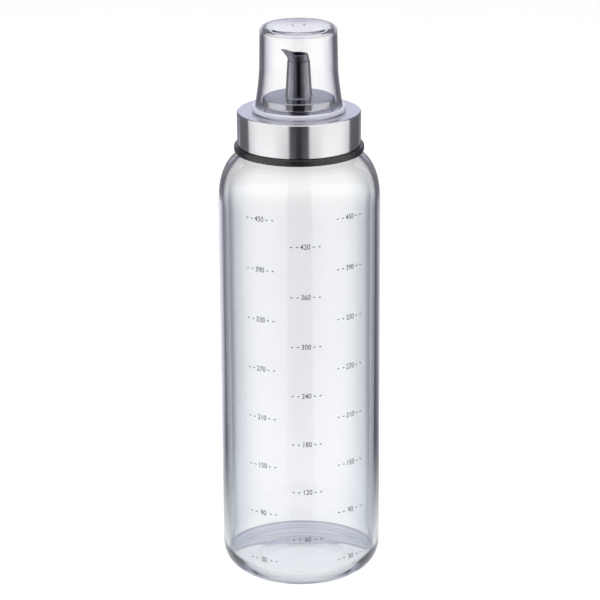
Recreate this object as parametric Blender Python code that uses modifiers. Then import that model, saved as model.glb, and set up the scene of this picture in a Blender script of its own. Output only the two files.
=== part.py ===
"""Oil cruet: a round glass bottle with a screw lid, a beaked pouring spout and a clear dust cap.

Metres, +Z up. The origin is the middle of the bottle's foot, on the surface that it stands on.
The front of the bottle faces -Y and the spout's beak points to -X.
"""

import math

import bmesh
import bpy

# Clearances
GAP = 0.0003  # between pieces that touch, or that seat in one another
THREAD_CLEARANCE = 0.0006  # from the crest of the glass thread to the lid's bore
FLANK_CLEARANCE = 0.0003  # between the glass thread and the lid thread that pulls up against it
LID_STANDOFF = 0.0005  # between the lid's flange and the top of the shoulder
CAP_HEADROOM = 0.0078  # between the beak's tip and the dust cap's ceiling

# Glass bottle
BODY_RADIUS = 0.0325
BODY_HEIGHT = 0.1573  # to the top of the straight side
GLASS_WALL = 0.0021
BASE_CORNER = 0.0100
INNER_CORNER = 0.0080
FOOT_WIDTH = 0.0020  # of the flat ring that the bottle stands on
FLOOR_THICKNESS = 0.0034  # where the floor meets the rounding of the wall
FLOOR_RISE = 0.0003  # of the floor's inside, to its middle
PUNT_DEPTH = 0.0014  # that the underside of the floor is pushed up in the middle
SHOULDER_RISE = 0.0207
SHOULDER_FULLNESS = 2.18  # 2 is an ellipse, and more is squarer
SHOULDER_THICKNESS = 0.0022
NECK_RADIUS = 0.0199
NECK_WALL = 0.0027
NECK_HEIGHT = 0.0126  # from the top of the shoulder to the rim
NECK_FILLET = 0.0012
MOUTH_FILLET = 0.0015  # inside, where the neck opens into the shoulder
RIM_ROUND = 0.0008

# Screw thread: right-handed, one start, a round bead on the glass and another in the lid
THREAD_PITCH = 0.0042
THREAD_TURNS = 1.5
THREAD_DROP = 0.0029  # from the rim down to the upper end of the glass thread
GLASS_BEAD = 0.0012
LID_BEAD = 0.0011
LID_THREAD_TURNS = 1.2

# Plastic core of the lid
SKIRT_WALL = 0.0021
FLANGE_OVERHANG = 0.0013  # of the black flange beyond the steel shell
FLANGE_HEIGHT = 0.0026
FLANGE_ROUND = 0.0005
LID_PLATE = 0.0017
BOSS_HEIGHT = 0.0059
BOSS_WALL = 0.0015
BOSS_PLATE = 0.0015
SOCKET_WALL = 0.0012
SNAP_RIDGE = 0.0003  # that the ridge in the socket reaches in under the insert's foot
SNAP_HEIGHT = 0.0007

# Brushed steel shell over the core
SHELL_GAUGE = 0.0005
SHELL_ROUND = 0.0006

# Polished steel cover: the platform inside the dust cap and the column of the spout
COVER_GAUGE = 0.0004
PLATFORM_RADIUS = 0.0143
PLATFORM_ROUND = 0.0006
COLUMN_HEIGHT = 0.0144
COLUMN_TAPER = 0.0008  # that the column's radius gains from its top to its foot
COLUMN_FILLET = 0.0010
VENT_RADIUS = 0.0006
VENT_ANGLE = math.radians(27.0)  # from +X, on the side away from the beak

# Insert that carries the oil: tail, foot, tube and beaked lip
BORE_RADIUS = 0.00305
TUBE_WALL = 0.0007
TAIL_LENGTH = 0.0022
INSERT_FOOT_RADIUS = 0.0074
INSERT_FOOT_THICKNESS = 0.0014
LIP_INSET = 0.0002  # of the lip from the column's top edge
LIP_TAPER = 0.0005  # that the lip's radius loses from its foot to its rim
LIP_HEIGHT = 0.0024
LIP_WALL = 0.0006
BEAK_LENGTH = 0.0034  # of the beak beyond the rest of the rim
BEAK_RISE = 0.0018  # of the beak's tip above the rest of the rim
BEAK_SHARPNESS = 10
BEAK_CURVE = 1.5

# Silicone washers
LID_SEAL_THICKNESS = 0.0011
LID_SEAL_OVERLAP = 0.0006  # that the lid's seal reaches in past the glass rim
SPOUT_SEAL_THICKNESS = 0.0010

# Clear dust cap
CAP_WALL = 0.0018
CAP_TOP_THICKNESS = 0.0018
CAP_CORNER = 0.0024
CAP_INNER_CORNER = 0.0015
CAP_FOOT_HEIGHT = 0.0018
CAP_FOOT_OVERHANG = 0.0013  # of the foot beyond the wall above it
CAP_FOOT_ROUND = 0.0006
CAP_SEAT_HEIGHT = 0.0030  # of the ring inside the foot that fits round the platform
CAP_SEAT_STEP = 0.0010  # from that ring out to the wall's inside
CAP_FLARE = 0.0015  # that the wall widens towards the foot
CAP_FLARE_HEIGHT = 0.0150
CAP_FLARE_CURVE = 1.5
CAP_DRAFT = 0.02  # taper of the whole wall, as a slope
GATE_RADIUS = 0.0025
GATE_DEPTH = 0.0004

# Fineness of the round surfaces
LARGE_STEPS = 48
SMALL_STEPS = 32
CORNER_PIECES = 3
CURVE_PIECES = 7
LIP_ROWS = 5
CAP_WALL_ROWS = 6
ROW_CROWDING = 1.5  # of those rows towards the foot
VENT_SIDES = 12
THREAD_POINTS = 30  # in one turn
THREAD_FADE = 0.125  # of a turn, at each end
THREAD_END = 0.3  # of the bead's radius, at the very end
SHARP_ANGLE = math.radians(35.0)
WELD_DISTANCE = 0.00001

# Heights above the surface that the bottle stands on, from the bottom up
SHOULDER_TOP = BODY_HEIGHT + SHOULDER_RISE
RIM_LEVEL = SHOULDER_TOP + NECK_HEIGHT
FLANGE_LEVEL = SHOULDER_TOP + LID_STANDOFF
FLANGE_TOP = FLANGE_LEVEL + FLANGE_HEIGHT
LID_SEAL_LEVEL = RIM_LEVEL + GAP
LID_CEILING = LID_SEAL_LEVEL + LID_SEAL_THICKNESS + GAP
PLATE_TOP = LID_CEILING + LID_PLATE
SHELL_TOP = PLATE_TOP + GAP + SHELL_GAUGE
BOSS_TOP = PLATE_TOP + BOSS_HEIGHT
BOSS_CEILING = BOSS_TOP - BOSS_PLATE
PLATFORM_TOP = BOSS_TOP + GAP + COVER_GAUGE
COLUMN_TOP = PLATFORM_TOP + COLUMN_HEIGHT
SPOUT_SEAL_LEVEL = BOSS_CEILING - GAP - SPOUT_SEAL_THICKNESS
INSERT_FOOT_TOP = SPOUT_SEAL_LEVEL - GAP
INSERT_FOOT_LEVEL = INSERT_FOOT_TOP - INSERT_FOOT_THICKNESS
LIP_LEVEL = COLUMN_TOP + GAP
LIP_RIM = LIP_LEVEL + LIP_HEIGHT
CAP_LEVEL = SHELL_TOP + GAP
CAP_CEILING = LIP_RIM + BEAK_RISE + CAP_HEADROOM
CAP_TOP = CAP_CEILING + CAP_TOP_THICKNESS

# Radii of what seats in or round something else
INNER_RADIUS = BODY_RADIUS - GLASS_WALL
MOUTH_RADIUS = NECK_RADIUS - NECK_WALL
SKIRT_BORE = NECK_RADIUS + GLASS_BEAD + THREAD_CLEARANCE
SKIRT_RADIUS = SKIRT_BORE + SKIRT_WALL
SHELL_RADIUS = SKIRT_RADIUS + GAP + SHELL_GAUGE
FLANGE_RADIUS = SHELL_RADIUS + FLANGE_OVERHANG
BOSS_RADIUS = PLATFORM_RADIUS - COVER_GAUGE - GAP
CAVITY_RADIUS = BOSS_RADIUS - BOSS_WALL
SOCKET_BORE = INSERT_FOOT_RADIUS + GAP
SOCKET_RADIUS = SOCKET_BORE + SOCKET_WALL
VENT_REACH = (SOCKET_RADIUS + CAVITY_RADIUS) / 2
TUBE_RADIUS = BORE_RADIUS + TUBE_WALL
INSERT_HOLE = TUBE_RADIUS + GAP
COLUMN_TOP_RADIUS = INSERT_HOLE + COVER_GAUGE
COLUMN_FOOT_RADIUS = COLUMN_TOP_RADIUS + COLUMN_TAPER
CAP_SEAT_RADIUS = PLATFORM_RADIUS + GAP
CAP_BASE_RADIUS = CAP_SEAT_RADIUS + CAP_SEAT_STEP + CAP_WALL


def clear_scene():
    for obj in list(bpy.data.objects):
        bpy.data.objects.remove(obj)


def new_collection(name):
    made = bpy.data.collections.new(name)
    bpy.context.scene.collection.children.link(made)
    return made


def material(name, colour, roughness, metallic=0.0, transmission=0.0):
    made = bpy.data.materials.new(name)
    made.use_nodes = True
    shader = made.node_tree.nodes["Principled BSDF"]
    shader.inputs["Base Color"].default_value = (*colour, 1.0)
    shader.inputs["Roughness"].default_value = roughness
    shader.inputs["Metallic"].default_value = metallic
    shader.inputs["Transmission Weight"].default_value = transmission
    return made


def arc(centre, reach, start, end, pieces=CORNER_PIECES, fullness=2.0):
    """Points (radius, height) along an ellipse's arc, with its angles in degrees from outwards to up.

    A fullness above 2 pushes the arc out, towards the corner of the box round it.
    """
    points = []
    for i in range(pieces + 1):
        angle = math.radians(start + (end - start) * i / pieces)
        shares = [math.copysign(abs(share) ** (2 / fullness), share) for share in (math.cos(angle), math.sin(angle))]
        points.append((centre[0] + reach[0] * shares[0], centre[1] + reach[1] * shares[1]))
    return points


def corner(radius, height, size, start, end, pieces=CORNER_PIECES):
    """The rounding, of radius size, of an edge at (radius, height) that fills the quarter from start to end."""
    quarter = math.radians((start + end) / 2)
    centre = (radius - math.copysign(size, math.cos(quarter)), height - math.copysign(size, math.sin(quarter)))
    return arc(centre, (size, size), start, end, pieces)


def turned(name, profile, steps, look, closed=True):
    """A piece turned about the Z axis from (radius, height) points that run down its outside and up its inside.

    A profile that isn't closed begins and ends on the axis.
    """
    mesh = bpy.data.meshes.new(name)
    count = len(profile)
    edges = [(i, (i + 1) % count) for i in range(count if closed else count - 1)]
    mesh.from_pydata([(radius, 0.0, height) for radius, height in profile], edges, [])
    mesh.materials.append(look)
    obj = bpy.data.objects.new(name, mesh)
    parts.objects.link(obj)
    screw = obj.modifiers.new("turn", "SCREW")
    screw.steps = steps
    screw.render_steps = steps
    screw.use_merge_vertices = True
    screw.merge_threshold = WELD_DISTANCE
    return obj


def boolean(obj, other, operation):
    modifier = obj.modifiers.new(other.name, "BOOLEAN")
    modifier.operation = operation
    modifier.object = other


def evaluated_mesh(obj):
    graph = bpy.context.evaluated_depsgraph_get()
    return bpy.data.meshes.new_from_object(obj.evaluated_get(graph))


def finished(obj):
    """Turns the object's modifiers into its mesh, and shades its round surfaces smooth."""
    made = evaluated_mesh(obj)
    obj.modifiers.clear()
    obj.data = made
    made.name = obj.name
    made.shade_smooth()
    made.set_sharp_from_angle(angle=SHARP_ANGLE)
    return obj


def helper(name, mesh):
    """An object that only cuts or joins others."""
    obj = bpy.data.objects.new(name, mesh)
    cutters.objects.link(obj)
    obj.hide_render = True
    obj.display_type = "WIRE"
    return obj


def thread(name, radius, bead, top, turns, start):
    """A round bead that winds down right-handed from the height top, from the angle start, thinner at its ends."""
    curve = bpy.data.curves.new(name, "CURVE")
    curve.dimensions = "3D"
    curve.bevel_depth = bead
    curve.bevel_resolution = 2
    curve.use_fill_caps = True
    last = round(THREAD_POINTS * turns)
    spline = curve.splines.new("POLY")
    spline.points.add(last)
    for i, point in enumerate(spline.points):
        turn = turns * i / last
        angle = start - 2 * math.pi * turn
        from_end = min(turn, turns - turn) / THREAD_FADE
        point.co = (radius * math.cos(angle), radius * math.sin(angle), top - THREAD_PITCH * turn, 1.0)
        point.radius = min(1.0, THREAD_END + (1.0 - THREAD_END) * from_end)
    wound = helper(name + "_curve", curve)
    mesh = evaluated_mesh(wound)
    bpy.data.objects.remove(wound)
    welded = bmesh.new()
    welded.from_mesh(mesh)
    bmesh.ops.remove_doubles(welded, verts=welded.verts, dist=WELD_DISTANCE)
    welded.to_mesh(mesh)
    welded.free()
    return helper(name, mesh)


def glass_bottle(look):
    """A straight body with a rounded base, a floor pushed up in the middle, a shoulder and a threaded neck."""
    foot_outer = BODY_RADIUS - BASE_CORNER
    foot_inner = foot_outer - FOOT_WIDTH
    floor_edge = INNER_RADIUS - INNER_CORNER
    shoulder_inside = SHOULDER_TOP - SHOULDER_THICKNESS
    fillet = NECK_RADIUS + NECK_FILLET
    mouth_fillet = MOUTH_RADIUS + MOUTH_FILLET
    outside = [
        *corner(MOUTH_RADIUS, RIM_LEVEL, RIM_ROUND, 180, 90),
        *corner(NECK_RADIUS, RIM_LEVEL, RIM_ROUND, 90, 0),
        *arc((fillet, SHOULDER_TOP + NECK_FILLET), (NECK_FILLET, NECK_FILLET), 180, 270)[:-1],
        *arc(
            (fillet, BODY_HEIGHT), (BODY_RADIUS - fillet, SHOULDER_RISE), 90, 0, CURVE_PIECES, SHOULDER_FULLNESS
        ),
        *arc((foot_outer, BASE_CORNER), (BASE_CORNER, BASE_CORNER), 0, -90, CURVE_PIECES),
        (foot_inner, 0.0),
        *dome(foot_inner, 0.0, PUNT_DEPTH),
    ]
    inside = [
        *reversed(dome(floor_edge, FLOOR_THICKNESS, FLOOR_RISE)),
        *arc((floor_edge, FLOOR_THICKNESS + INNER_CORNER), (INNER_CORNER, INNER_CORNER), -90, 0, CURVE_PIECES),
        *arc(
            (mouth_fillet, BODY_HEIGHT),
            (INNER_RADIUS - mouth_fillet, shoulder_inside - BODY_HEIGHT),
            0,
            90,
            CURVE_PIECES,
            SHOULDER_FULLNESS,
        )[:-1],
        *arc((mouth_fillet, shoulder_inside + MOUTH_FILLET), (MOUTH_FILLET, MOUTH_FILLET), 270, 180),
    ]
    bottle = turned("glass_bottle", inside + outside, LARGE_STEPS, look, closed=False)
    bead = thread("glass_thread", NECK_RADIUS, GLASS_BEAD, RIM_LEVEL - THREAD_DROP, THREAD_TURNS, 0.0)
    boolean(bottle, bead, "UNION")
    return finished(bottle)


def dome(edge, level, rise):
    """Points of a shallow dome, from its edge up to its middle."""
    shares = [i / CORNER_PIECES for i in range(1, CORNER_PIECES + 1)]
    return [(edge * (1 - share), level + rise * (1 - (1 - share) ** 2)) for share in shares]


def vent_drill(name, low, high):
    """The drill of the air hole, between two heights."""
    drill = bmesh.new()
    bmesh.ops.create_cone(
        drill,
        cap_ends=True,
        segments=VENT_SIDES,
        radius1=VENT_RADIUS,
        radius2=VENT_RADIUS,
        depth=high - low,
    )
    mesh = bpy.data.meshes.new(name)
    drill.to_mesh(mesh)
    drill.free()
    obj = helper(name, mesh)
    obj.location = (VENT_REACH * math.cos(VENT_ANGLE), VENT_REACH * math.sin(VENT_ANGLE), (low + high) / 2)
    return obj


def lid_core(look):
    """The black moulding: flange, threaded skirt, top plate, and the hollow boss with the spout's snap socket."""
    snap_top = INSERT_FOOT_LEVEL - GAP
    snap_bore = INSERT_FOOT_RADIUS - SNAP_RIDGE
    profile = [
        (INSERT_HOLE, BOSS_TOP),
        (BOSS_RADIUS, BOSS_TOP),
        (BOSS_RADIUS, PLATE_TOP),
        (SKIRT_RADIUS, PLATE_TOP),
        (SKIRT_RADIUS, FLANGE_TOP),
        *corner(FLANGE_RADIUS, FLANGE_TOP, FLANGE_ROUND, 90, 0),
        *corner(FLANGE_RADIUS, FLANGE_LEVEL, FLANGE_ROUND, 0, -90),
        (SKIRT_BORE, FLANGE_LEVEL),
        (SKIRT_BORE, LID_CEILING),
        (CAVITY_RADIUS, LID_CEILING),
        (CAVITY_RADIUS, BOSS_CEILING),
        (SOCKET_RADIUS, BOSS_CEILING),
        (SOCKET_RADIUS, snap_top - SNAP_HEIGHT),
        (SOCKET_BORE, snap_top - SNAP_HEIGHT),
        (snap_bore, snap_top - SNAP_HEIGHT / 2),
        (snap_bore, snap_top),
        (SOCKET_BORE, snap_top),
        (SOCKET_BORE, BOSS_CEILING),
        (INSERT_HOLE, BOSS_CEILING),
    ]
    core = turned("lid_core", profile, LARGE_STEPS, look)
    thread_turn = THREAD_TURNS - LID_THREAD_TURNS
    between_beads = GLASS_BEAD + FLANK_CLEARANCE + LID_BEAD
    below_glass_bead = math.sqrt(between_beads**2 - (SKIRT_BORE - NECK_RADIUS) ** 2)
    thread_top = RIM_LEVEL - THREAD_DROP - THREAD_PITCH * thread_turn - below_glass_bead
    start = -2 * math.pi * thread_turn
    boolean(core, thread("lid_thread", SKIRT_BORE, LID_BEAD, thread_top, LID_THREAD_TURNS, start), "UNION")
    boolean(core, vent_drill("core_vent", BOSS_CEILING - GAP, BOSS_TOP + GAP), "DIFFERENCE")
    return finished(core)


def lid_shell(look):
    """The brushed steel shell, pressed down over the core."""
    inside = SHELL_RADIUS - SHELL_GAUGE
    hole = PLATFORM_RADIUS + GAP
    profile = [
        (hole, SHELL_TOP),
        *corner(SHELL_RADIUS, SHELL_TOP, SHELL_ROUND, 90, 0),
        (SHELL_RADIUS, FLANGE_TOP + GAP),
        (inside, FLANGE_TOP + GAP),
        (inside, SHELL_TOP - SHELL_GAUGE),
        (hole, SHELL_TOP - SHELL_GAUGE),
    ]
    return finished(turned("lid_shell", profile, LARGE_STEPS, look))


def spout_cover(look):
    """The polished steel drawn over the boss: the platform and the tapered column round the insert's tube."""
    low = PLATE_TOP + GAP
    underside = PLATFORM_TOP - COVER_GAUGE
    skirt_inside = PLATFORM_RADIUS - COVER_GAUGE
    fillet = COLUMN_FOOT_RADIUS + COLUMN_FILLET
    inner_fillet = COLUMN_FILLET + COVER_GAUGE
    profile = [
        (COLUMN_TOP_RADIUS, COLUMN_TOP),
        *arc((fillet, PLATFORM_TOP + COLUMN_FILLET), (COLUMN_FILLET, COLUMN_FILLET), 180, 270),
        *corner(PLATFORM_RADIUS, PLATFORM_TOP, PLATFORM_ROUND, 90, 0),
        (PLATFORM_RADIUS, low),
        (skirt_inside, low),
        (skirt_inside, underside),
        *arc((fillet, PLATFORM_TOP + COLUMN_FILLET), (inner_fillet, inner_fillet), 270, 180),
        (INSERT_HOLE, COLUMN_TOP),
    ]
    cover = turned("spout_cover", profile, SMALL_STEPS, look)
    boolean(cover, vent_drill("cover_vent", underside - GAP, PLATFORM_TOP + GAP), "DIFFERENCE")
    return finished(cover)


def spout_insert(look):
    """The piece that the oil runs through: turned first, with its lip then drawn out to a beak."""
    low = INSERT_FOOT_LEVEL - TAIL_LENGTH
    foot_radius = COLUMN_TOP_RADIUS - LIP_INSET
    rim_inside = foot_radius - LIP_TAPER - LIP_WALL
    shares = [i / LIP_ROWS for i in range(LIP_ROWS + 1)]
    outside = [(foot_radius - LIP_TAPER * share, LIP_LEVEL + LIP_HEIGHT * share) for share in shares]
    inside = [
        (BORE_RADIUS + (rim_inside - BORE_RADIUS) * share, LIP_LEVEL + LIP_HEIGHT * share) for share in shares
    ]
    profile = [
        *reversed(outside),
        (TUBE_RADIUS, LIP_LEVEL),
        (TUBE_RADIUS, INSERT_FOOT_TOP),
        (INSERT_FOOT_RADIUS, INSERT_FOOT_TOP),
        (INSERT_FOOT_RADIUS, INSERT_FOOT_LEVEL),
        (TUBE_RADIUS, INSERT_FOOT_LEVEL),
        (TUBE_RADIUS, low),
        (BORE_RADIUS, low),
        *inside,
    ]
    insert = finished(turned("spout_insert", profile, SMALL_STEPS, look))
    for vertex in insert.data.vertices:
        draw_beak(vertex.co)
    return insert


def draw_beak(point):
    """Draws a point of the lip out towards -X and up, the more so the nearer it is to the rim and to the beak."""
    share = (point.z - LIP_LEVEL) / LIP_HEIGHT
    if share <= 0.0:
        return
    radius = math.hypot(point.x, point.y)
    towards_beak = (0.5 - 0.5 * point.x / radius) ** BEAK_SHARPNESS
    stretch = 1.0 + BEAK_LENGTH * towards_beak * share**BEAK_CURVE / radius
    point.x *= stretch
    point.y *= stretch
    point.z += BEAK_RISE * towards_beak * share


def washer(name, inside, outside, low, thickness, steps, look):
    """A flat ring."""
    high = low + thickness
    return finished(turned(name, [(inside, high), (outside, high), (outside, low), (inside, low)], steps, look))


def cap_radius(height):
    """Outer radius of the dust cap's wall, at a height above the top of its foot."""
    flare_left = max(0.0, 1.0 - height / CAP_FLARE_HEIGHT)
    return CAP_BASE_RADIUS - CAP_FLARE * (1.0 - flare_left**CAP_FLARE_CURVE) - CAP_DRAFT * height


def dust_cap(look):
    """The clear cap: a drafted wall that flares to a thick foot, a flat top, and a seat round the platform."""
    foot_top = CAP_LEVEL + CAP_FOOT_HEIGHT
    foot_radius = CAP_BASE_RADIUS + CAP_FOOT_OVERHANG
    seat_top = CAP_LEVEL + CAP_SEAT_HEIGHT
    outer_rise = CAP_TOP - CAP_CORNER - foot_top
    inner_rise = CAP_CEILING - CAP_INNER_CORNER - foot_top
    seat_rise = seat_top - foot_top
    rows = [(i / CAP_WALL_ROWS) ** ROW_CROWDING for i in range(CAP_WALL_ROWS + 1)]
    wall_outside = [outer_rise * row for row in reversed(rows)]
    wall_inside = [seat_rise + (inner_rise - seat_rise) * row for row in rows]
    profile = [
        (0.0, CAP_TOP - GATE_DEPTH),
        (GATE_RADIUS, CAP_TOP - GATE_DEPTH),
        (GATE_RADIUS, CAP_TOP),
        *corner(cap_radius(outer_rise), CAP_TOP, CAP_CORNER, 90, 0)[:-1],
        *[(cap_radius(rise), foot_top + rise) for rise in wall_outside],
        *corner(foot_radius, foot_top, CAP_FOOT_ROUND, 90, 0),
        *corner(foot_radius, CAP_LEVEL, CAP_FOOT_ROUND, 0, -90),
        (CAP_SEAT_RADIUS, CAP_LEVEL),
        (CAP_SEAT_RADIUS, seat_top),
        *[(cap_radius(rise) - CAP_WALL, foot_top + rise) for rise in wall_inside[:-1]],
        *corner(cap_radius(inner_rise) - CAP_WALL, CAP_CEILING, CAP_INNER_CORNER, 0, 90),
        (0.0, CAP_CEILING),
    ]
    return finished(turned("dust_cap", profile, LARGE_STEPS, look, closed=False))


def carried(name, height, pieces):
    """An empty on the bottle's axis at a height, with the pieces that move as one under it."""
    empty = bpy.data.objects.new(name, None)
    parts.objects.link(empty)
    empty.location.z = height
    for piece in pieces:
        piece.parent = empty
        piece.location.z -= height


def build():
    glass = material("clear_glass", (0.93, 0.95, 0.96), 0.02, transmission=1.0)
    clear_plastic = material("clear_plastic", (0.93, 0.93, 0.97), 0.05, transmission=1.0)
    black_plastic = material("black_plastic", (0.03, 0.03, 0.035), 0.35)
    brushed_steel = material("brushed_steel", (0.72, 0.72, 0.74), 0.28, metallic=1.0)
    polished_steel = material("polished_steel", (0.55, 0.55, 0.60), 0.12, metallic=1.0)
    chromed_plastic = material("chromed_plastic", (0.40, 0.40, 0.45), 0.15, metallic=1.0)
    lid_silicone = material("lid_silicone", (0.75, 0.75, 0.74), 0.5)
    spout_silicone = material("spout_silicone", (0.80, 0.80, 0.80), 0.5)

    glass_bottle(glass)
    lid_seal = washer(
        "lid_seal",
        MOUTH_RADIUS - LID_SEAL_OVERLAP,
        SKIRT_BORE - GAP,
        LID_SEAL_LEVEL,
        LID_SEAL_THICKNESS,
        LARGE_STEPS,
        lid_silicone,
    )
    spout_seal = washer(
        "spout_seal",
        INSERT_HOLE,
        INSERT_FOOT_RADIUS,
        SPOUT_SEAL_LEVEL,
        SPOUT_SEAL_THICKNESS,
        SMALL_STEPS,
        spout_silicone,
    )
    lid = [
        lid_core(black_plastic),
        lid_shell(brushed_steel),
        spout_cover(polished_steel),
        spout_insert(chromed_plastic),
        spout_seal,
    ]
    carried("lid_rise_axis", RIM_LEVEL, [lid_seal])
    carried("lid_turn_axis", FLANGE_LEVEL, lid)
    carried("cap_lift_axis", CAP_LEVEL, [dust_cap(clear_plastic)])


clear_scene()
parts = new_collection("oil_cruet")
cutters = new_collection("cutters")
build()
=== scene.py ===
"""Oil cruet: the looks of a round glass bottle with a screw lid, a beaked pouring spout and a clear dust cap.

Metres, +Z up. The front of the bottle faces -Y and the spout's beak points to -X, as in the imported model.
"""

import math

import bmesh
import bpy
from mathutils import Matrix, Vector


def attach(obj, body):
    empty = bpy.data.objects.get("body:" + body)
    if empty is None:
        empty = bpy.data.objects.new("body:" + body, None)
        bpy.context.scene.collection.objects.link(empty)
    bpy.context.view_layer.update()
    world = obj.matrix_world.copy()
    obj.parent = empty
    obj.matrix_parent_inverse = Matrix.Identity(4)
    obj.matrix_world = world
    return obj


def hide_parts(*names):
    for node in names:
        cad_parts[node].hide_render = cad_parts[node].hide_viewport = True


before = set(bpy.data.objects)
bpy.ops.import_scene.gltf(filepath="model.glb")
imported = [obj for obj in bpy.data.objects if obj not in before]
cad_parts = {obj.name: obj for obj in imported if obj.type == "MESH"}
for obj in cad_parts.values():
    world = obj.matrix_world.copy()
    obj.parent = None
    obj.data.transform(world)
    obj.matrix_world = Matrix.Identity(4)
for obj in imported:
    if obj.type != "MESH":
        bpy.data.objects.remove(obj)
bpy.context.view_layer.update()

# The bottle is blown soda-lime glass. It has a rounded heel, a floor that is pushed up in the middle, a soft
# shoulder and a short neck, with a one-start screw thread that is moulded with the neck.
BODY_RADIUS = 0.0325
BODY_HEIGHT = 0.1573  # to the top of the straight side
GLASS_WALL = 0.0021
HEEL = 0.0100
INNER_HEEL = 0.0080
FOOT_WIDTH = 0.0020  # of the flat ring that the bottle stands on
FLOOR_THICKNESS = 0.0034
FLOOR_RISE = 0.0003
PUNT_DEPTH = 0.0014
SHOULDER_RISE = 0.0207
SHOULDER_FULLNESS = 2.18  # 2 is an ellipse, and more is squarer
SHOULDER_THICKNESS = 0.0022
NECK_RADIUS = 0.0199
NECK_WALL = 0.0027
NECK_HEIGHT = 0.0126
NECK_FILLET = 0.0012
MOUTH_FILLET = 0.0015
RIM_ROUND = 0.0008
THREAD_PITCH = 0.0042
GLASS_BEAD = 0.0012
GLASS_THREAD_TURNS = 1.5
GLASS_THREAD_DROP = 0.0029  # from the rim down to the upper end of the thread
BODY_STEPS = 192
SHOULDER_PIECES = 28
HEEL_PIECES = 20
FLOOR_PIECES = 10
THREAD_ROWS = 56
THREAD_FADE = 0.12  # turns in which a thread rises at each of its ends
THREAD_POINT = 0.7  # 0.5 is a half-round bead, and more is more pointed
ON_WALL = 0.00002  # points this near to the wall rise with the thread
ON_AXIS = 0.00001  # points this near to each other on the axis are one
CREASE = math.radians(38.0)  # edges that turn more than this stay crisp

INNER_RADIUS = BODY_RADIUS - GLASS_WALL
MOUTH_RADIUS = NECK_RADIUS - NECK_WALL
SHOULDER_TOP = BODY_HEIGHT + SHOULDER_RISE
RIM_LEVEL = SHOULDER_TOP + NECK_HEIGHT


def arc(centre, reach, start, end, pieces=8, fullness=2.0):
    """Points (radius, height) along an ellipse's arc, with its angles in degrees from outwards to up."""
    points = []
    for i in range(pieces + 1):
        angle = math.radians(start + (end - start) * i / pieces)
        ways = math.cos(angle), math.sin(angle)
        out, up = [math.copysign(abs(way) ** (2 / fullness), way) for way in ways]
        points.append((centre[0] + reach[0] * out, centre[1] + reach[1] * up))
    return points


def rounded(radius, height, size, start, end, pieces=5):
    """The rounding, of that size, of an edge at (radius, height), in the quarter from start to end."""
    quarter = math.radians((start + end) / 2)
    out, up = math.copysign(size, math.cos(quarter)), math.copysign(size, math.sin(quarter))
    return arc((radius - out, height - up), (size, size), start, end, pieces)


def remade(piece):
    """Gives a piece the shape that its modifiers make, smooth but for its creases, in place of its mesh."""
    drawn = piece.data
    graph = bpy.context.evaluated_depsgraph_get()
    piece.data = bpy.data.meshes.new_from_object(piece.evaluated_get(graph))
    piece.modifiers.clear()
    bpy.data.meshes.remove(drawn)
    piece.data.name = piece.name
    piece.data.shade_smooth()
    piece.data.set_sharp_from_angle(angle=CREASE)


def turned(name, outline, steps, closed=True):
    """A piece turned about the bottle's axis from an outline that runs down its outside and up its inside."""
    count = len(outline)
    edges = [(i, (i + 1) % count) for i in range(count if closed else count - 1)]
    drawn = bpy.data.meshes.new(name + "_outline")
    drawn.from_pydata([(radius, 0.0, height) for radius, height in outline], edges, [])
    piece = bpy.data.objects.new(name, drawn)
    bpy.context.scene.collection.objects.link(piece)
    lathe = piece.modifiers.new("lathe", "SCREW")
    lathe.steps = lathe.render_steps = steps
    lathe.use_merge_vertices = True
    lathe.merge_threshold = ON_AXIS
    remade(piece)
    return piece


def wound(piece, radius, bead, top, turns, first_angle, side):
    """Raises a right-handed thread, winding down a wall of that radius; side is 1 outwards, -1 inwards."""
    for vertex in piece.data.vertices:
        point = vertex.co
        if abs(math.hypot(point.x, point.y) - radius) > ON_WALL:
            continue
        turn = ((first_angle - math.atan2(point.y, point.x)) / math.tau) % 1.0
        while turn <= turns:
            from_crest = (point.z - top + THREAD_PITCH * turn) / bead
            if abs(from_crest) < 1.0:
                fade = min(1.0, min(turn, turns - turn) / THREAD_FADE)
                grown = 1.0 + side * bead * fade * (1.0 - from_crest**2) ** THREAD_POINT / radius
                point.x *= grown
                point.y *= grown
                break
            turn += 1.0


def punt(edge, level, depth):
    """Points of the floor's rise, a shallow dome, from its edge to its middle."""
    shares = [i / FLOOR_PIECES for i in range(1, FLOOR_PIECES + 1)]
    return [(edge * (1 - share), level + depth * (1 - (1 - share) ** 2)) for share in shares]


def new_look(name):
    """A new material, its Principled shader and its tree of nodes."""
    look = bpy.data.materials.new(name)
    look.use_nodes = True
    return look, look.node_tree.nodes["Principled BSDF"], look.node_tree


def fill(node, *joined, **values):
    """Gives a node its settings, in small letters, and its inputs: each a value, or another node's output.

    What comes without a name goes to the node's first inputs, in their order.
    """
    for name in filter(str.islower, values):
        setattr(node, name, values[name])
    inputs = [*zip(node.inputs, joined)]
    inputs += [(node.inputs[name.replace("_", " ")], values[name]) for name in values if not name.islower()]
    for place, value in inputs:
        if isinstance(value, bpy.types.NodeSocket):
            node.id_data.links.new(value, place)
        else:
            place.default_value = value
    return node


def add(tree, kind, *joined, **values):
    """A new node of that kind in the tree, filled in."""
    return fill(tree.nodes.new("ShaderNode" + kind), *joined, **values)


def ramp(tree, stops, share):
    """The colour at that share of a ramp through (position, colour) stops."""
    node = add(tree, "ValToRGB", share)
    elements = node.color_ramp.elements
    while len(elements) < len(stops):
        elements.new(1.0)
    for element, (position, colour) in zip(elements, stops):
        element.position = position
        element.color = (*colour, 1.0)[:4]
    return node.outputs["Color"]


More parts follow.
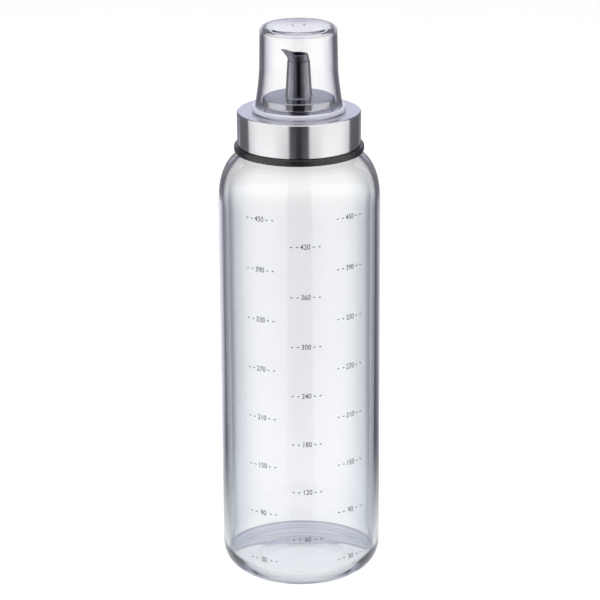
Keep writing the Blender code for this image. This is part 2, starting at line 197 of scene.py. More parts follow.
def blended(tree, share, first, second, way="MIX"):
    """The first colour, blended with that share of the second."""
    mix = add(tree, "Mix", share, data_type="RGBA", blend_type=way)
    tree.links.new(first, mix.inputs[6])
    tree.links.new(second, mix.inputs[7])
    return mix.outputs[2]


def new_effect(name, wanted, given):
    """An empty node group with these inputs and outputs, what it is given, and the node that gives it out."""
    effect = bpy.data.node_groups.new(name, "ShaderNodeTree")
    for end, sockets in (("INPUT", wanted), ("OUTPUT", given)):
        for title, default in sockets.items():
            kind = "NodeSocketColor" if isinstance(default, tuple) else "NodeSocketFloat"
            effect.interface.new_socket(title, in_out=end, socket_type=kind).default_value = default
    return effect, effect.nodes.new("NodeGroupInput").outputs, effect.nodes.new("NodeGroupOutput")


def marked(effect, wanted, given, noise, faint, strong):
    """Ends an effect of marks: Height is the noise itself, and Value spreads it from Low to High."""
    height = noise.outputs["Fac"]
    ends = {"From_Min": faint, "From_Max": strong, "To_Min": wanted["Low"], "To_Max": wanted["High"]}
    fill(given, add(effect, "MapRange", Value=height, **ends).outputs["Result"], height)


# An effect of several of the finishes: soft patches at any size, such as the waves in blown glass, the
# mottling of a moulding or the wear of print.
patches, wanted, given = new_effect(
    "soft_patches",
    {"Patches per metre": 50.0, "Detail": 2.0, "Low": 0.0, "High": 1.0},
    {"Value": 0.0, "Height": 0.0},
)
place = add(patches, "TexCoord").outputs["Object"]
clouds = add(patches, "TexNoise", Vector=place, Scale=wanted["Patches per metre"], Detail=wanted["Detail"])
marked(patches, wanted, given, clouds, 0.3, 0.7)


def grouped(tree, group, **values):
    """What the group gives in a material, with the material's own values."""
    return add(tree, "Group", node_tree=group, **values).outputs


def raised(tree, height, distance):
    """The bumps of a surface, by a height from 0 to 1 that stands for that distance."""
    return add(tree, "Bump", Strength=1.0, Distance=distance, Height=height).outputs["Normal"]


# An effect of the glass and of the clear cap: painted shade in the colour of each face, by how far it turns
# away, which stands in for the dark surroundings seen through a thick clear wall. The edges are painted dark,
# and a flat floor or top isn't.
LEVEL_FULL = 0.92  # of a face's upward tilt, from which it counts as level
painted_edge_shade, wanted, given = new_effect(
    "painted_edge_shade",
    {
        "Edge colour": (1.0, 1.0, 1.0, 1.0),
        "Level colour": (1.0, 1.0, 1.0, 1.0),
        "Level from": 0.5,
        "Clear from height": 0.0,
        "Clear to height": 1.0,
    },
    {"Colour": (1.0, 1.0, 1.0, 1.0)},
)
place = add(painted_edge_shade, "TexCoord").outputs
height = add(painted_edge_shade, "SeparateXYZ", place["Object"]).outputs["Z"]
upwards = add(painted_edge_shade, "SeparateXYZ", place["Normal"]).outputs["Z"]
upright = add(painted_edge_shade, "Math", upwards, operation="ABSOLUTE").outputs[0]
level = add(painted_edge_shade, "MapRange", Value=upright, From_Min=wanted["Level from"], From_Max=LEVEL_FULL)
high_up = add(painted_edge_shade, "MapRange", height, wanted["Clear from height"], wanted["Clear to height"])
clear = level.outputs["Result"], high_up.outputs["Result"]
either = add(painted_edge_shade, "Math", *clear, operation="MAXIMUM").outputs[0]
fill(given, blended(painted_edge_shade, either, wanted["Edge colour"], wanted["Level colour"]))


def tinted_edges(tree, stops, **values):
    """The colour of a clear material, with painted shade by how far each of its faces turns away."""
    facing = add(tree, "LayerWeight", Blend=0.5).outputs["Facing"]
    return grouped(tree, painted_edge_shade, Edge_colour=ramp(tree, stops, facing), **values)["Colour"]


def clear_to_lamps(tree, shade):
    """Lets lamps and stray light through clear stuff, a little dimmed, so that what it covers isn't black."""
    path = add(tree, "LightPath").outputs
    stray = add(tree, "Math", path["Is Shadow Ray"], path["Is Diffuse Ray"], operation="MAXIMUM").outputs[0]
    seen = tree.nodes["Principled BSDF"].outputs["BSDF"]
    passed = add(tree, "BsdfTransparent", Color=(*shade, 1.0)).outputs["BSDF"]
    fill(tree.nodes["Material Output"], Surface=add(tree, "MixShader", stray, seen, passed).outputs["Shader"])


CLEAR_SHOULDER = 0.6  # share of the shoulder's rise over which the painted edge shade ends

glass, shader, tree = new_look("clear_glass")
waves = grouped(tree, patches, Patches_per_metre=32.0, Detail=1.0, Low=0.0, High=0.012)
# Painted shade: the glass's colour darkens towards its edges, with a dark band near the outline, for the dark
# surroundings seen through the wall.
edges = tinted_edges(
    tree,
    [
        (0.00, (0.970, 0.974, 0.984)),
        (0.20, (0.945, 0.951, 0.962)),
        (0.27, (0.915, 0.922, 0.932)),
        (0.34, (0.830, 0.850, 0.880)),
        (0.44, (0.730, 0.760, 0.800)),
        (0.53, (0.600, 0.640, 0.690)),
        (0.59, (0.360, 0.395, 0.440)),
        (0.64, (0.340, 0.370, 0.410)),
        (0.70, (0.930, 0.950, 0.980)),
        (0.90, (1.000, 1.000, 1.000)),
    ],
    Level_colour=(0.995, 0.995, 0.995, 1.0),
    Level_from=0.55,
    Clear_from_height=BODY_HEIGHT,
    Clear_to_height=BODY_HEIGHT + SHOULDER_RISE * CLEAR_SHOULDER,
)
fill(
    shader,
    Base_Color=edges,
    Roughness=waves["Value"],
    IOR=1.5,
    Transmission_Weight=1.0,
    Normal=raised(tree, waves["Height"], 0.00003),
)
bluish = add(tree, "VolumeAbsorption", Color=(0.35, 0.42, 0.50, 1.0), Density=14.0)
fill(tree.nodes["Material Output"], Volume=bluish.outputs["Volume"])
clear_to_lamps(tree, (0.985, 0.987, 0.990))

foot_outer = BODY_RADIUS - HEEL
foot_inner = foot_outer - FOOT_WIDTH
floor_edge = INNER_RADIUS - INNER_HEEL
inside_shoulder = SHOULDER_TOP - SHOULDER_THICKNESS
fillet = NECK_RADIUS + NECK_FILLET
mouth_fillet = MOUTH_RADIUS + MOUTH_FILLET
neck_low, neck_high = SHOULDER_TOP + NECK_FILLET, RIM_LEVEL - RIM_ROUND
neck_rows = [neck_high + (neck_low - neck_high) * i / THREAD_ROWS for i in range(1, THREAD_ROWS)]


def shoulder(inside, outside, top, start, end):
    """The full arc of the shoulder, from the straight side up to where the neck begins, or down again."""
    reach = (outside - inside, top - BODY_HEIGHT)
    return arc((inside, BODY_HEIGHT), reach, start, end, SHOULDER_PIECES, SHOULDER_FULLNESS)


bottle = turned(
    "blown_bottle",
    [
        (0.0, FLOOR_THICKNESS + FLOOR_RISE),
        *reversed(punt(floor_edge, FLOOR_THICKNESS, FLOOR_RISE)[:-1]),
        *arc((floor_edge, FLOOR_THICKNESS + INNER_HEEL), (INNER_HEEL, INNER_HEEL), -90, 0, HEEL_PIECES),
        *shoulder(mouth_fillet, INNER_RADIUS, inside_shoulder, 0, 90)[:-1],
        *arc((mouth_fillet, inside_shoulder + MOUTH_FILLET), (MOUTH_FILLET, MOUTH_FILLET), 270, 180),
        *rounded(MOUTH_RADIUS, RIM_LEVEL, RIM_ROUND, 180, 90),
        *rounded(NECK_RADIUS, RIM_LEVEL, RIM_ROUND, 90, 0),
        *[(NECK_RADIUS, level) for level in neck_rows],
        *arc((fillet, neck_low), (NECK_FILLET, NECK_FILLET), 180, 270)[:-1],
        *shoulder(fillet, BODY_RADIUS, SHOULDER_TOP, 90, 0),
        *arc((foot_outer, HEEL), (HEEL, HEEL), 0, -90, HEEL_PIECES),
        (foot_inner, 0.0),
        *punt(foot_inner, 0.0, PUNT_DEPTH),
    ],
    BODY_STEPS,
    closed=False,
)
glass_thread_top = RIM_LEVEL - GLASS_THREAD_DROP
wound(bottle, NECK_RADIUS, GLASS_BEAD, glass_thread_top, GLASS_THREAD_TURNS, first_angle=0.0, side=1)
bottle.data.materials.append(glass)
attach(bottle, "bottle")
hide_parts("glass_bottle")

# The scale is printed on the outside of the glass in dark grey enamel: three columns of volumes in
# millilitres, each number in the middle of a graduation line of short dashes. The screen was a little askew.
MARK_RISE = 0.02075 / 60  # for each millilitre
MARK_240 = 0.0857
COLUMNS = ((-28.6, range(30, 451, 60)), (4.3, range(60, 421, 60)), (37.7, range(30, 451, 60)))
SKEW = -0.143 / 60  # degrees for each millilitre
DIGIT_SIZE = 0.0031
DIGIT_WIDTH = 0.86
DASHES = (-0.00560, -0.00331, 0.00331, 0.00560)
DASH_LENGTH, DASH_HEIGHT = 0.00085, 0.00042
INK_SPREAD = 0.00003  # that each stroke is bolder than the letter's drawing
INK_THICKNESS = 0.00003
INK_STANDOFF = 0.00001

enamel, shader, tree = new_look("printed_enamel")
wear = grouped(tree, patches, Patches_per_metre=2600.0, Detail=3.0, Low=0.35, High=0.65)
fill(
    shader,
    Base_Color=ramp(tree, [(0.0, (0.085, 0.088, 0.095)), (1.0, (0.135, 0.138, 0.147))], wear["Height"]),
    Roughness=wear["Value"],
    Normal=raised(tree, wear["Height"], 0.000004),
)


def printed(volume):
    """A flat mesh of one graduation: its number, centred on the origin, between its dashes."""
    words = bpy.data.curves.new("number", "FONT")
    words.body = str(volume)
    words.size = DIGIT_SIZE
    words.align_x = "CENTER"
    words.align_y = "CENTER"
    words.offset = INK_SPREAD
    words.extrude = INK_THICKNESS / 2
    words.resolution_u = 4
    written = bpy.data.objects.new("number", words)
    bpy.context.scene.collection.objects.link(written)
    graph = bpy.context.evaluated_depsgraph_get()
    mesh = bpy.data.meshes.new_from_object(written.evaluated_get(graph))
    bpy.data.objects.remove(written)
    bpy.data.curves.remove(words)
    flat = bmesh.new()
    flat.from_mesh(mesh)
    bpy.data.meshes.remove(mesh)
    bmesh.ops.remove_doubles(flat, verts=flat.verts, dist=0.000001)
    bmesh.ops.scale(flat, vec=(DIGIT_WIDTH, 1.0, 1.0), verts=flat.verts)
    for along in DASHES:
        dash = Matrix.LocRotScale((along, 0.0, 0.0), None, (DASH_LENGTH, DASH_HEIGHT, INK_THICKNESS))
        bmesh.ops.create_cube(flat, size=1.0, matrix=dash)
    return flat


scale_mesh = bmesh.new()
for azimuth, volumes in COLUMNS:
    for volume in volumes:
        mark = printed(volume)
        height = MARK_240 + (volume - 240) * MARK_RISE
        middle = math.radians(azimuth + SKEW * (volume - 240))
        for vertex in mark.verts:
            angle = middle + vertex.co.x / BODY_RADIUS
            radius = BODY_RADIUS + INK_STANDOFF + INK_THICKNESS / 2 + vertex.co.z
            vertex.co = (radius * math.sin(angle), -radius * math.cos(angle), height + vertex.co.y)
        bmesh.ops.recalc_face_normals(mark, faces=mark.faces)
        laid = bpy.data.meshes.new("mark")
        mark.to_mesh(laid)
        mark.free()
        scale_mesh.from_mesh(laid)
        bpy.data.meshes.remove(laid)
printed_scale = bpy.data.objects.new("printed_scale", bpy.data.meshes.new("printed_scale"))
bpy.context.scene.collection.objects.link(printed_scale)
scale_mesh.to_mesh(printed_scale.data)
scale_mesh.free()
printed_scale.data.materials.append(enamel)
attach(printed_scale, "bottle")

# The washer in the lid is punched from a sheet of milky silicone. The lid squeezes it onto the glass rim, so
# that the bottle is tight.
GAP = 0.0003  # between pieces that touch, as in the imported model
THREAD_CLEARANCE = 0.0006
LID_SEAL_THICKNESS = 0.0011
LID_SEAL_OVERLAP = 0.0006  # that the seal reaches in past the glass rim
SEAL_EDGE = 0.0002
EDGE_PIECES = 3  # in the rounding of a softened edge
LID_STEPS = 160

SKIRT_BORE = NECK_RADIUS + GLASS_BEAD + THREAD_CLEARANCE
LID_SEAL_LEVEL = RIM_LEVEL + GAP


def washer(name, inside, outside, low, thickness, look):
    """A flat ring with softened edges."""
    high = low + thickness
    outline = [
        *rounded(inside, high, SEAL_EDGE, 180, 90, EDGE_PIECES),
        *rounded(outside, high, SEAL_EDGE, 90, 0, EDGE_PIECES),
        *rounded(outside, low, SEAL_EDGE, 0, -90, EDGE_PIECES),
        *rounded(inside, low, SEAL_EDGE, -90, -180, EDGE_PIECES),
    ]
    piece = turned(name, outline, LID_STEPS)
    piece.data.materials.append(look)
    return piece


silicone, shader, tree = new_look("milky_silicone")
bloom = grouped(tree, patches, Patches_per_metre=900.0, Detail=3.0, Low=0.42, High=0.60)
fill(
    shader,
    Base_Color=ramp(tree, [(0.3, (0.73, 0.73, 0.72)), (0.7, (0.80, 0.80, 0.79))], bloom["Height"]),
    Roughness=bloom["Value"],
    Subsurface_Weight=0.3,
    Subsurface_Radius=(0.0010, 0.0009, 0.0008),
    Normal=raised(tree, bloom["Height"], 0.00001),
)

seal_inside = MOUTH_RADIUS - LID_SEAL_OVERLAP
lid_washer = washer("lid_washer", seal_inside, SKIRT_BORE - GAP, LID_SEAL_LEVEL, LID_SEAL_THICKNESS, silicone)
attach(lid_washer, "seal")
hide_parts("lid_seal")

# The core of the lid is one moulding in black plastic: the flange that shows under the steel, the threaded
# skirt, the plate over the glass rim, and the hollow boss in which the spout's insert snaps home.
LID_STANDOFF = 0.0005
SKIRT_WALL = 0.0021
SHELL_GAUGE = 0.0005
FLANGE_OVERHANG = 0.0013
FLANGE_HEIGHT = 0.0026
FLANGE_ROUND = 0.0005
ROUND_PIECES = 6  # in a rounding that shows
LID_PLATE = 0.0017
BOSS_HEIGHT = 0.0059
BOSS_WALL = 0.0015
BOSS_PLATE = 0.0015
SOCKET_WALL = 0.0012
SNAP_RIDGE = 0.0003
SNAP_HEIGHT = 0.0007
MOULD_EDGE = 0.0002
LID_BEAD = 0.0011
LID_THREAD_TURNS = 1.2
FLANK_CLEARANCE = 0.0003
BORE_RADIUS = 0.00305
TUBE_WALL = 0.0007
INSERT_FOOT_RADIUS = 0.0074
INSERT_FOOT_THICKNESS = 0.0014
COVER_GAUGE = 0.0004
PLATFORM_RADIUS = 0.0143
SPOUT_SEAL_THICKNESS = 0.0010

FLANGE_LEVEL = SHOULDER_TOP + LID_STANDOFF
FLANGE_TOP = FLANGE_LEVEL + FLANGE_HEIGHT
LID_CEILING = LID_SEAL_LEVEL + LID_SEAL_THICKNESS + GAP
PLATE_TOP = LID_CEILING + LID_PLATE
BOSS_TOP = PLATE_TOP + BOSS_HEIGHT
BOSS_CEILING = BOSS_TOP - BOSS_PLATE
SPOUT_SEAL_LEVEL = BOSS_CEILING - GAP - SPOUT_SEAL_THICKNESS
INSERT_FOOT_TOP = SPOUT_SEAL_LEVEL - GAP
INSERT_FOOT_LEVEL = INSERT_FOOT_TOP - INSERT_FOOT_THICKNESS
SKIRT_RADIUS = SKIRT_BORE + SKIRT_WALL
SHELL_RADIUS = SKIRT_RADIUS + GAP + SHELL_GAUGE
FLANGE_RADIUS = SHELL_RADIUS + FLANGE_OVERHANG
BOSS_RADIUS = PLATFORM_RADIUS - COVER_GAUGE - GAP
CAVITY_RADIUS = BOSS_RADIUS - BOSS_WALL
SOCKET_BORE = INSERT_FOOT_RADIUS + GAP
SOCKET_RADIUS = SOCKET_BORE + SOCKET_WALL
TUBE_RADIUS = BORE_RADIUS + TUBE_WALL
INSERT_HOLE = TUBE_RADIUS + GAP

black_plastic, shader, tree = new_look("black_plastic")
mottle = grouped(tree, patches, Patches_per_metre=260.0, Detail=4.0, Low=0.24, High=0.36)
grain = grouped(tree, patches, Patches_per_metre=5200.0, Detail=1.0)
fill(
    shader,
    Base_Color=ramp(tree, [(0.3, (0.006, 0.006, 0.008)), (0.7, (0.012, 0.012, 0.015))], mottle["Height"]),
    Roughness=mottle["Value"],
    IOR=1.65,
    Normal=raised(tree, grain["Height"], 0.000006),
)

snap_top = INSERT_FOOT_LEVEL - GAP
snap_bore = INSERT_FOOT_RADIUS - SNAP_RIDGE
skirt_rows = [FLANGE_LEVEL + (LID_CEILING - FLANGE_LEVEL) * i / THREAD_ROWS for i in range(THREAD_ROWS + 1)]
core = turned(
    "moulded_core",
    [
        (INSERT_HOLE, BOSS_TOP),
        (BOSS_RADIUS, BOSS_TOP),
        (BOSS_RADIUS, PLATE_TOP),
        (SKIRT_RADIUS, PLATE_TOP),
        (SKIRT_RADIUS, FLANGE_TOP),
        *rounded(FLANGE_RADIUS, FLANGE_TOP, FLANGE_ROUND, 90, 0, ROUND_PIECES),
        *rounded(FLANGE_RADIUS, FLANGE_LEVEL, FLANGE_ROUND, 0, -90, ROUND_PIECES),
        *[(SKIRT_BORE, level) for level in skirt_rows],
        *rounded(CAVITY_RADIUS, LID_CEILING, MOULD_EDGE, -90, -180, EDGE_PIECES),
        (CAVITY_RADIUS, BOSS_CEILING),
        (SOCKET_RADIUS, BOSS_CEILING),
        *rounded(SOCKET_RADIUS, snap_top - SNAP_HEIGHT, MOULD_EDGE, 0, -90, EDGE_PIECES),
        (SOCKET_BORE, snap_top - SNAP_HEIGHT),
        (snap_bore, snap_top - SNAP_HEIGHT / 2),
        (snap_bore, snap_top),
        (SOCKET_BORE, snap_top),
        (SOCKET_BORE, BOSS_CEILING),
        (INSERT_HOLE, BOSS_CEILING),
    ],
    LID_STEPS,
)
thread_turn = GLASS_THREAD_TURNS - LID_THREAD_TURNS
between_beads = GLASS_BEAD + FLANK_CLEARANCE + LID_BEAD
below_glass_bead = math.sqrt(between_beads**2 - (SKIRT_BORE - NECK_RADIUS) ** 2)
lid_thread_top = glass_thread_top - THREAD_PITCH * thread_turn - below_glass_bead
lid_thread_angle = -math.tau * thread_turn
wound(core, SKIRT_BORE, LID_BEAD, lid_thread_top, LID_THREAD_TURNS, first_angle=lid_thread_angle, side=-1)
core.data.materials.append(black_plastic)
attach(core, "lid")
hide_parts("lid_core")

# The shell is the lid's outside, drawn from thin stainless steel, brushed round and round on a lathe, and
# pressed down over the core.
SHELL_ROUND = 0.0006

SHELL_TOP = PLATE_TOP + GAP + SHELL_GAUGE

# Lines of the lathe: fine grooves round the axis, each a few millimetres long before it fades into the next.
LINE_ENDS = 160.0  # for each metre along a line
lathe_lines, wanted, given = new_effect(
    "lathe_lines", {"Lines per metre": 9000.0, "Low": 0.2, "High": 0.3}, {"Value": 0.0, "Height": 0.0}
)


def from_axis(tree, place):
    """How far a place is from the bottle's axis."""
    level_out = add(tree, "VectorMath", place, (1.0, 1.0, 0.0), operation="MULTIPLY").outputs["Vector"]
    return add(tree, "VectorMath", level_out, operation="LENGTH").outputs["Value"]


place = add(lathe_lines, "TexCoord").outputs["Object"]
parted = add(lathe_lines, "SeparateXYZ", place).outputs
across = [
    add(lathe_lines, "Math", way, wanted["Lines per metre"], operation="MULTIPLY").outputs[0]
    for way in (from_axis(lathe_lines, place), parted["Z"])
]
along = [add(lathe_lines, "Math", parted[way], LINE_ENDS, operation="MULTIPLY").outputs[0] for way in "XY"]
grooves = add(lathe_lines, "CombineXYZ", *across, along[0]).outputs["Vector"]
finest = {"noise_dimensions": "4D", "Scale": 1.0, "Detail": 3.0}
scratches = add(lathe_lines, "TexNoise", Vector=grooves, W=along[1], **finest)
marked(lathe_lines, wanted, given, scratches, 0.25, 0.75)

brushed_steel, shader, tree = new_look("brushed_steel")
lines = grouped(tree, lathe_lines, Lines_per_metre=9000.0, Low=0.15, High=0.24)
fill(
    shader,
    Base_Color=ramp(tree, [(0.2, (0.78, 0.785, 0.80)), (0.8, (0.87, 0.875, 0.89))], lines["Height"]),
    Metallic=1.0,
    Roughness=lines["Value"],
    Anisotropic=0.9,
    Anisotropic_Rotation=0.25,
    Tangent=add(tree, "Tangent", direction_type="RADIAL", axis="Z").outputs["Tangent"],
    Normal=raised(tree, lines["Height"], 0.000002),
)

shell_inside = SHELL_RADIUS - SHELL_GAUGE
shell_hole = PLATFORM_RADIUS + GAP
shell = turned(
    "brushed_shell",
    [
        (shell_hole, SHELL_TOP),
        *rounded(SHELL_RADIUS, SHELL_TOP, SHELL_ROUND, 90, 0, ROUND_PIECES),
        (SHELL_RADIUS, FLANGE_TOP + GAP),
        (shell_inside, FLANGE_TOP + GAP),
        (shell_inside, SHELL_TOP - SHELL_GAUGE),
        (shell_hole, SHELL_TOP - SHELL_GAUGE),
    ],
    LID_STEPS,
)
shell.data.materials.append(brushed_steel)
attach(shell, "lid")
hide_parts("lid_shell")

# The cover of the boss is drawn from steel, polished and pressed on: a flat platform and the tapered column
# round the tube. A small air hole in the platform lets the bottle breathe while it pours.
PLATFORM_ROUND = 0.0006
COLUMN_HEIGHT = 0.0144
COLUMN_TAPER = 0.0008
COLUMN_FILLET = 0.0010
VENT_RADIUS = 0.0006
VENT_ANGLE = math.radians(27.0)
VENT_STEPS = 24
SPOUT_STEPS = 96

PLATFORM_TOP = BOSS_TOP + GAP + COVER_GAUGE
COLUMN_TOP = PLATFORM_TOP + COLUMN_HEIGHT
COLUMN_TOP_RADIUS = INSERT_HOLE + COVER_GAUGE
COLUMN_FOOT_RADIUS = COLUMN_TOP_RADIUS + COLUMN_TAPER
VENT_REACH = (SOCKET_RADIUS + CAVITY_RADIUS) / 2
VENT = Vector((VENT_REACH * math.cos(VENT_ANGLE), VENT_REACH * math.sin(VENT_ANGLE)))


def drilled(piece, low, high):
    """Cuts the air hole through a piece of the lid between two heights."""
    bit = bmesh.new()
    sizes = {"radius1": VENT_RADIUS, "radius2": VENT_RADIUS, "depth": high - low}
    bmesh.ops.create_cone(bit, cap_ends=True, segments=VENT_STEPS, **sizes)
    drill = bpy.data.objects.new("drill", bpy.data.meshes.new("drill"))
    bit.to_mesh(drill.data)
    bit.free()
    bpy.context.scene.collection.objects.link(drill)
    drill.location = (*VENT, (low + high) / 2)
    hole = piece.modifiers.new("hole", "BOOLEAN")
    hole.operation = "DIFFERENCE"
    hole.object = drill
    remade(piece)
    bpy.data.objects.remove(drill)


def mirrored_room(tree, stops, height, low, high):
    """Painted reflection of a dark room in the colour of bright metal: darkest where it faces the eye, and a
    little uneven.
    """
    facing = add(tree, "LayerWeight", Blend=0.5).outputs["Facing"]
    uneven = add(tree, "MapRange", Value=height, To_Min=low, To_Max=high).outputs["Result"]
    return blended(tree, 1.0, ramp(tree, stops, facing), uneven, "MULTIPLY")


PAINTED_REFLECTION = [
    (0.04, (0.070, 0.071, 0.086)),
    (0.07, (0.110, 0.112, 0.132)),
    (0.10, (0.175, 0.178, 0.205)),
    (0.14, (0.205, 0.208, 0.240)),
    (0.24, (0.260, 0.264, 0.302)),
    (0.38, (0.380, 0.385, 0.440)),
    (0.48, (0.600, 0.606, 0.680)),
    (0.62, (0.600, 0.606, 0.680)),
    (0.70, (0.255, 0.260, 0.305)),
    (0.80, (0.255, 0.260, 0.305)),
    (0.90, (0.450, 0.455, 0.510)),
]
PAINTED_RIM_REFLECTION = [  # the platform's rounded side gets a painted reflection of the shell's bright ring instead
    (0.075, (0.100, 0.101, 0.115)),
    (0.092, (0.560, 0.565, 0.610)),
]
polished_steel, shader, tree = new_look("polished_steel")
lines = grouped(tree, lathe_lines, Lines_per_metre=5000.0, Low=0.10, High=0.16)
# The colour is a painted reflection: of the dark room, and on the platform's rounded side, of the shell's
# bright ring.
rim_reflection_share = add(
    tree,
    "MapRange",
    Value=from_axis(tree, add(tree, "TexCoord").outputs["Object"]),
    From_Min=PLATFORM_RADIUS - PLATFORM_ROUND,
    From_Max=PLATFORM_RADIUS - PLATFORM_ROUND / 3,
).outputs["Result"]
painted_reflections = [
    mirrored_room(tree, stops, lines["Height"], low=0.94, high=1.06) for stops in (PAINTED_REFLECTION, PAINTED_RIM_REFLECTION)
]
fill(
    shader,
    Base_Color=blended(tree, rim_reflection_share, *painted_reflections),
    Metallic=1.0,
    Roughness=lines["Value"],
    Normal=raised(tree, lines["Height"], 0.0000006),
)

painted_vent_glint, shader, tree = new_look("painted_vent_glint")  # the wall of the air hole, painted bright as a glint of the light that it catches
glint_mottle = grouped(tree, patches, Patches_per_metre=2500.0, Detail=3.0, Low=0.45, High=0.60)
fill(
    shader,
    Base_Color=ramp(tree, [(0.3, (0.86, 0.86, 0.90)), (0.7, (0.98, 0.98, 1.00))], glint_mottle["Height"]),
    Metallic=0.35,
    Roughness=glint_mottle["Value"],
    Normal=raised(tree, glint_mottle["Height"], 0.00001),
)

cover_fillet = COLUMN_FOOT_RADIUS + COLUMN_FILLET
inner_fillet = COLUMN_FILLET + COVER_GAUGE
cover_low = PLATE_TOP + GAP
cover = turned(
    "polished_cover",
    [
        (COLUMN_TOP_RADIUS, COLUMN_TOP),
        *arc((cover_fillet, PLATFORM_TOP + COLUMN_FILLET), (COLUMN_FILLET, COLUMN_FILLET), 180, 270),
        *rounded(PLATFORM_RADIUS, PLATFORM_TOP, PLATFORM_ROUND, 90, 0, ROUND_PIECES),
        (PLATFORM_RADIUS, cover_low),
        (PLATFORM_RADIUS - COVER_GAUGE, cover_low),
        (PLATFORM_RADIUS - COVER_GAUGE, PLATFORM_TOP - COVER_GAUGE),
        *arc((cover_fillet, PLATFORM_TOP + COLUMN_FILLET), (inner_fillet, inner_fillet), 270, 180),
        (INSERT_HOLE, COLUMN_TOP),
    ],
    SPOUT_STEPS,
)
drilled(cover, PLATFORM_TOP - COVER_GAUGE - GAP, PLATFORM_TOP + GAP)
cover.data.materials.append(polished_steel)
cover.data.materials.append(painted_vent_glint)
# The air hole's wall takes the painted glint.
for face in cover.data.polygons:
    face.material_index = int((face.center.xy - VENT).length < VENT_RADIUS and abs(face.normal.z) < 0.5)
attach(cover, "lid")
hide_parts("spout_cover")

# The insert carries the oil through the lid. It is moulded in plastic and chromed, with a foot that snaps
# into the core, a thin tube up the column, and a lip that is drawn out to a beak so that the last drop runs
# back.
TAIL_LENGTH = 0.0022
LIP_INSET = 0.0002
LIP_TAPER = 0.0005
LIP_HEIGHT = 0.0024
LIP_WALL = 0.0006
LIP_EDGE = 0.00012
LIP_ROWS = 20
BEAK_LENGTH = 0.0034
BEAK_RISE = 0.0018
BEAK_SHARPNESS = 10
BEAK_CURVE = 1.5

LIP_LEVEL = COLUMN_TOP + GAP
LIP_RIM = LIP_LEVEL + LIP_HEIGHT


def draw_beak(point):
    """Draws a point of the lip out towards -X and up, the more so nearer to the rim and to the beak."""
    share = (point.z - LIP_LEVEL) / LIP_HEIGHT
    if share <= 0.0:
        return
    radius = math.hypot(point.x, point.y)
    towards_beak = (0.5 - 0.5 * point.x / radius) ** BEAK_SHARPNESS
    stretch = 1.0 + BEAK_LENGTH * towards_beak * share**BEAK_CURVE / radius
    point.x *= stretch
    point.y *= stretch
    point.z += BEAK_RISE * towards_beak * share


chromed_plastic, shader, tree = new_look("chromed_plastic")
plating = grouped(tree, patches, Patches_per_metre=700.0, Detail=3.0, Low=0.13, High=0.22)
fill(
    shader,
    # The chrome's colour is the same painted reflection of the dark room.
    Base_Color=mirrored_room(tree, PAINTED_REFLECTION, plating["Height"], low=0.80, high=1.00),
    Metallic=1.0,
    Roughness=plating["Value"],
    Normal=raised(tree, plating["Height"], 0.000004),
)

insert_low = INSERT_FOOT_LEVEL - TAIL_LENGTH
lip_foot = COLUMN_TOP_RADIUS - LIP_INSET
rim_outside = lip_foot - LIP_TAPER
rim_inside = rim_outside - LIP_WALL
mouth_spread = rim_inside - BORE_RADIUS
shares = [i / LIP_ROWS for i in range(LIP_ROWS)]
insert = turned(
    "beaked_insert",
    [
        (rim_inside + LIP_EDGE, LIP_RIM),
        (rim_outside - LIP_EDGE, LIP_RIM),
        *[(lip_foot - LIP_TAPER * share, LIP_LEVEL + LIP_HEIGHT * share) for share in reversed(shares)],
        (TUBE_RADIUS, LIP_LEVEL),
        (TUBE_RADIUS, INSERT_FOOT_TOP),
        *rounded(INSERT_FOOT_RADIUS, INSERT_FOOT_TOP, MOULD_EDGE, 90, 0, EDGE_PIECES),
        *rounded(INSERT_FOOT_RADIUS, INSERT_FOOT_LEVEL, MOULD_EDGE, 0, -90, EDGE_PIECES),
        (TUBE_RADIUS, INSERT_FOOT_LEVEL),
        (TUBE_RADIUS, insert_low),
        (BORE_RADIUS, insert_low),
        *[(BORE_RADIUS + mouth_spread * share, LIP_LEVEL + LIP_HEIGHT * share) for share in shares],
    ],
    SPOUT_STEPS,
)
for vertex in insert.data.vertices:
    draw_beak(vertex.co)
insert.data.materials.append(chromed_plastic)
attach(insert, "lid")
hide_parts("spout_insert")

# The washer of the spout is punched from the same silicone. The snapped-in foot of the insert squeezes it
# onto the ceiling of the boss, so that no oil creeps up beside the tube.
spout_washer = washer(
    "spout_washer", INSERT_HOLE, INSERT_FOOT_RADIUS, SPOUT_SEAL_LEVEL, SPOUT_SEAL_THICKNESS, silicone
)
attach(spout_washer, "lid")
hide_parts("spout_seal")

# The dust cap is moulded in clear, hard plastic. Its wall leans in and flares to a thick foot, a ring inside
# the foot seats round the platform, and the mark in the middle of the top is where the mould was filled.
CAP_WALL = 0.0018
CAP_TOP_THICKNESS = 0.0018
CAP_CORNER = 0.0024
CAP_INNER_CORNER = 0.0015
CAP_FOOT_HEIGHT = 0.0018
CAP_FOOT_OVERHANG = 0.0013
CAP_FOOT_ROUND = 0.0006
FOOT_BLEND = 0.00005  # that the foot's painted brightness reaches up the wall
CAP_SEAT_HEIGHT = 0.0030
CAP_SEAT_STEP = 0.0010
CAP_FLARE = 0.0015
CAP_FLARE_HEIGHT = 0.0150
CAP_FLARE_CURVE = 1.5
CAP_DRAFT = 0.02
CAP_HEADROOM = 0.0078
GATE_RADIUS = 0.0025
GATE_DEPTH = 0.0004
CAP_WALL_ROWS = 24
CAP_CORNER_PIECES, CAP_INNER_CORNER_PIECES = 12, 10

CAP_LEVEL = SHELL_TOP + GAP
CAP_CEILING = LIP_RIM + BEAK_RISE + CAP_HEADROOM
CAP_TOP = CAP_CEILING + CAP_TOP_THICKNESS
CAP_SEAT_RADIUS = PLATFORM_RADIUS + GAP
CAP_BASE_RADIUS = CAP_SEAT_RADIUS + CAP_SEAT_STEP + CAP_WALL


